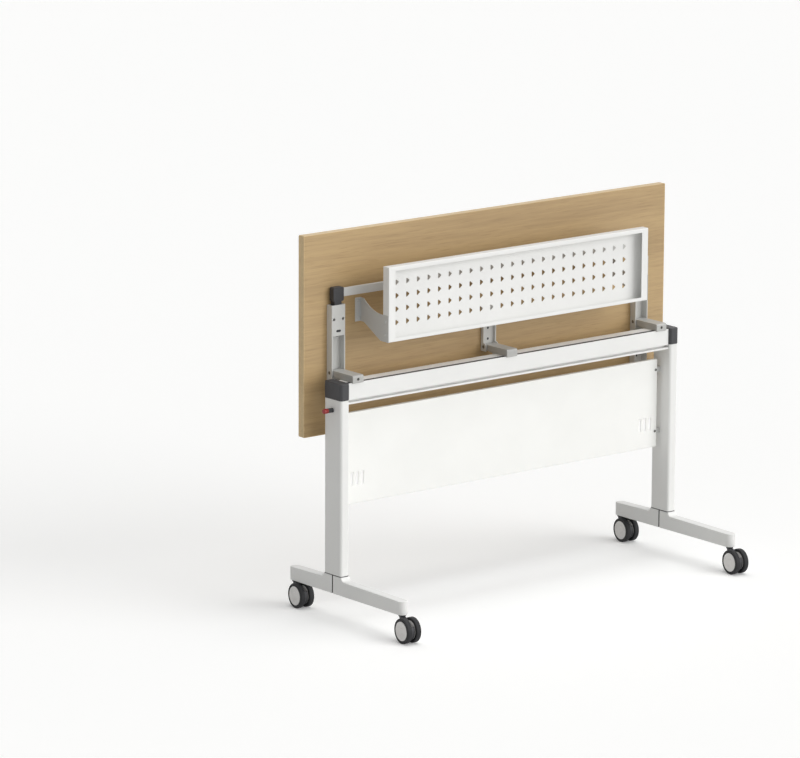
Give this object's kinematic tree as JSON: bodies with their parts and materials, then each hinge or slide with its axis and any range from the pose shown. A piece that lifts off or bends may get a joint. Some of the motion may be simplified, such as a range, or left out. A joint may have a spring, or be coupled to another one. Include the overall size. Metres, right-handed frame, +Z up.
{
  "type": "folding training table",
  "caption": "Wheeled training table, folded: its top stands upright on the frame, with a perforated shelf and a release bar beneath it and a modesty panel below the beam",
  "frame": {"origin": "on the floor under the middle of the folded table's bounding box", "axes": "+X along the beam to the right-hand post, +Y away from the user's side toward the work surface of the folded top, +Z up"},
  "size_m": [1.4, 0.5862, 1.137],
  "materials": {
    "oak_laminate": "satin wood-grain laminate on both faces",
    "oak_edge": "matching wood-grain edge band",
    "white_paint": "smooth white powder coat",
    "panel_paint": "pale grey powder coat",
    "grey_paint": "light grey powder coat",
    "cast_alloy": "cast alloy, light grey satin coat",
    "dark_plastic": "dark grey moulded plastic",
    "red_plastic": "red moulded plastic",
    "hub_plastic": "light grey moulded plastic",
    "tyre_rubber": "dark grey rubber tread",
    "steel": "zinc-plated steel"
  },
  "bodies": {
    "root": {"left_post": "white_paint", "right_post": "white_paint", "left_post_cap": "dark_plastic", "right_post_cap": "dark_plastic", "post_gaskets": "dark_plastic", "crossbeam": "white_paint", "slot_strip": "dark_plastic", "modesty_panel": "panel_paint", "panel_brackets": "grey_paint", "panel_screws": "steel", "left_front_foot": "white_paint", "left_rear_foot": "white_paint", "right_front_foot": "white_paint", "right_rear_foot": "white_paint", "foot_bolts": "steel", "left_hinge_arm": "cast_alloy", "middle_hinge_arm": "cast_alloy", "right_hinge_arm": "cast_alloy", "arm_screws": "steel", "pivot_pins": "steel", "plunger_sleeve": "dark_plastic"},
    "top": {"tabletop": "oak_laminate", "edge_band": "oak_edge", "left_bracket": "cast_alloy", "middle_bracket": "cast_alloy", "right_bracket": "cast_alloy", "bracket_screws": "steel", "shelf_tray": "white_paint", "left_hanger": "grey_paint", "right_hanger": "grey_paint", "shelf_screws": "steel"},
    "release": {"release_bar": "grey_paint", "release_grips": "dark_plastic", "latch_pins": "steel"},
    "plunger": {"plunger_knob": "red_plastic", "plunger_pin": "steel"},
    "left_front_caster": {"left_front_housing": "dark_plastic", "left_front_stem": "steel"},
    "left_front_outer_wheel": {"left_front_outer_hub": "hub_plastic", "left_front_outer_tyre": "tyre_rubber"},
    "left_front_inner_wheel": {"left_front_inner_hub": "hub_plastic", "left_front_inner_tyre": "tyre_rubber"},
    "left_rear_caster": {"left_rear_housing": "dark_plastic", "left_rear_stem": "steel"},
    "left_rear_outer_wheel": {"left_rear_outer_hub": "hub_plastic", "left_rear_outer_tyre": "tyre_rubber"},
    "left_rear_inner_wheel": {"left_rear_inner_hub": "hub_plastic", "left_rear_inner_tyre": "tyre_rubber"},
    "right_front_caster": {"right_front_housing": "dark_plastic", "right_front_stem": "steel"},
    "right_front_outer_wheel": {"right_front_outer_hub": "hub_plastic", "right_front_outer_tyre": "tyre_rubber"},
    "right_front_inner_wheel": {"right_front_inner_hub": "hub_plastic", "right_front_inner_tyre": "tyre_rubber"},
    "right_rear_caster": {"right_rear_housing": "dark_plastic", "right_rear_stem": "steel"},
    "right_rear_outer_wheel": {"right_rear_outer_hub": "hub_plastic", "right_rear_outer_tyre": "tyre_rubber"},
    "right_rear_inner_wheel": {"right_rear_inner_hub": "hub_plastic", "right_rear_inner_tyre": "tyre_rubber"}
  },
  "joints": [
    {"name": "top_flip", "type": "hinge", "parent": "root", "child": "top", "pos_m": [0, 0.15009, 0.723], "axis": [1, 0, 0], "range_deg": [0, 90]},
    {"name": "release_slide", "type": "slide", "parent": "top", "child": "release", "axis": [0, 0, 1], "range_m": [-0.01, 0]},
    {"name": "plunger_pull", "type": "slide", "parent": "root", "child": "plunger", "axis": [-1, 0, 0], "range_m": [0, 0.008], "stiffness_N_per_m": 400, "springref_m": -0.006},
    {"name": "left_front_swivel", "type": "hinge", "parent": "root", "child": "left_front_caster", "pos_m": [-0.64, -0.22391, 0.075], "axis": [0, 0, 1], "continuous": true},
    {"name": "left_front_outer_roll", "type": "hinge", "parent": "left_front_caster", "child": "left_front_outer_wheel", "pos_m": [-0.64282, -0.25378, 0.0375], "axis": [0.9956, -0.0941, 0], "continuous": true},
    {"name": "left_front_inner_roll", "type": "hinge", "parent": "left_front_caster", "child": "left_front_inner_wheel", "pos_m": [-0.64282, -0.25378, 0.0375], "axis": [0.9956, -0.0941, 0], "continuous": true},
    {"name": "left_rear_swivel", "type": "hinge", "parent": "root", "child": "left_rear_caster", "pos_m": [-0.64, 0.27709, 0.075], "axis": [0, 0, 1], "continuous": true},
    {"name": "left_rear_outer_roll", "type": "hinge", "parent": "left_rear_caster", "child": "left_rear_outer_wheel", "pos_m": [-0.64282, 0.24722, 0.0375], "axis": [0.9956, -0.0941, 0], "continuous": true},
    {"name": "left_rear_inner_roll", "type": "hinge", "parent": "left_rear_caster", "child": "left_rear_inner_wheel", "pos_m": [-0.64282, 0.24722, 0.0375], "axis": [0.9956, -0.0941, 0], "continuous": true},
    {"name": "right_front_swivel", "type": "hinge", "parent": "root", "child": "right_front_caster", "pos_m": [0.64, -0.22391, 0.075], "axis": [0, 0, 1], "continuous": true},
    {"name": "right_front_outer_roll", "type": "hinge", "parent": "right_front_caster", "child": "right_front_outer_wheel", "pos_m": [0.63718, -0.25378, 0.0375], "axis": [0.9956, -0.0941, 0], "continuous": true},
    {"name": "right_front_inner_roll", "type": "hinge", "parent": "right_front_caster", "child": "right_front_inner_wheel", "pos_m": [0.63718, -0.25378, 0.0375], "axis": [0.9956, -0.0941, 0], "continuous": true},
    {"name": "right_rear_swivel", "type": "hinge", "parent": "root", "child": "right_rear_caster", "pos_m": [0.64, 0.27709, 0.075], "axis": [0, 0, 1], "continuous": true},
    {"name": "right_rear_outer_roll", "type": "hinge", "parent": "right_rear_caster", "child": "right_rear_outer_wheel", "pos_m": [0.63718, 0.24722, 0.0375], "axis": [0.9956, -0.0941, 0], "continuous": true},
    {"name": "right_rear_inner_roll", "type": "hinge", "parent": "right_rear_caster", "child": "right_rear_inner_wheel", "pos_m": [0.63718, 0.24722, 0.0375], "axis": [0.9956, -0.0941, 0], "continuous": true}
  ]
}
